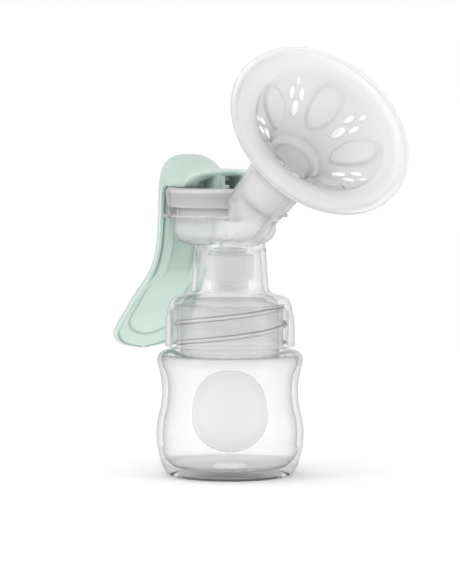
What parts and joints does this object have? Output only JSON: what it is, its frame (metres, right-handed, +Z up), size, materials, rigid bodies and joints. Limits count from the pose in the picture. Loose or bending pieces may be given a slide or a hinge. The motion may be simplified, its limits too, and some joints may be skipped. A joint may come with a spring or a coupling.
{
  "type": "breast pump",
  "caption": "Manual breast pump: clear funnel body with soft cushion, squeeze handle, diaphragm and valve, screwed on a small waisted bottle.",
  "frame": {"origin": "centre of the bottle's base, on the surface it stands on", "axes": "+Z up along the bottle's axis, +X towards the funnel, the squeeze handle on -X, symmetrical about the XZ plane"},
  "size_m": [0.184, 0.084, 0.1897],
  "materials": {
    "bottle_clear": "clear moulded plastic, polished",
    "badge_print": "thin translucent white print",
    "body_clear": "clear moulded plastic, polished",
    "valve_silicone": "milky white silicone, satin",
    "diaphragm_silicone": "translucent grey-white silicone, gloss",
    "stem_plastic": "white plastic, gloss",
    "handle_plastic": "pale green plastic, satin",
    "cushion_silicone": "translucent white silicone, satin"
  },
  "bodies": {
    "bottle": {"bottle": "bottle_clear", "bottle_badge": "badge_print"},
    "pump": {"pump_collar": "body_clear", "pump_bowl": "body_clear", "pump_funnel": "body_clear", "duckbill_valve": "valve_silicone", "diaphragm": "diaphragm_silicone"},
    "stem": {"diaphragm_stem": "stem_plastic"},
    "handle": {"handle": "handle_plastic"},
    "cushion": {"massage_cushion": "cushion_silicone"}
  },
  "joints": [
    {"name": "pump_off_bottle", "type": "slide", "parent": "bottle", "child": "pump", "axis": [0, 0, 1], "range_m": [0, 0.03]},
    {"name": "handle_squeeze", "type": "hinge", "parent": "pump", "child": "handle", "pos_m": [-0.033, 0, 0.11565], "axis": [0, -1, 0], "range_deg": [0, 16], "stiffness_Nm_per_rad": 0.4, "springref_deg": -5.73},
    {"name": "stem_lift", "type": "slide", "parent": "pump", "child": "stem", "axis": [0, 0, 1], "range_m": [0, 0.009], "deforming": ["diaphragm"]},
    {"name": "cushion_pull", "type": "slide", "parent": "pump", "child": "cushion", "axis": [0.8387, 0, 0.5446], "range_m": [0, 0.055]}
  ],
  "couplings": [
    {"joint": "stem_lift", "follows": "handle_squeeze", "m_per_rad": 0.0298}
  ]
}
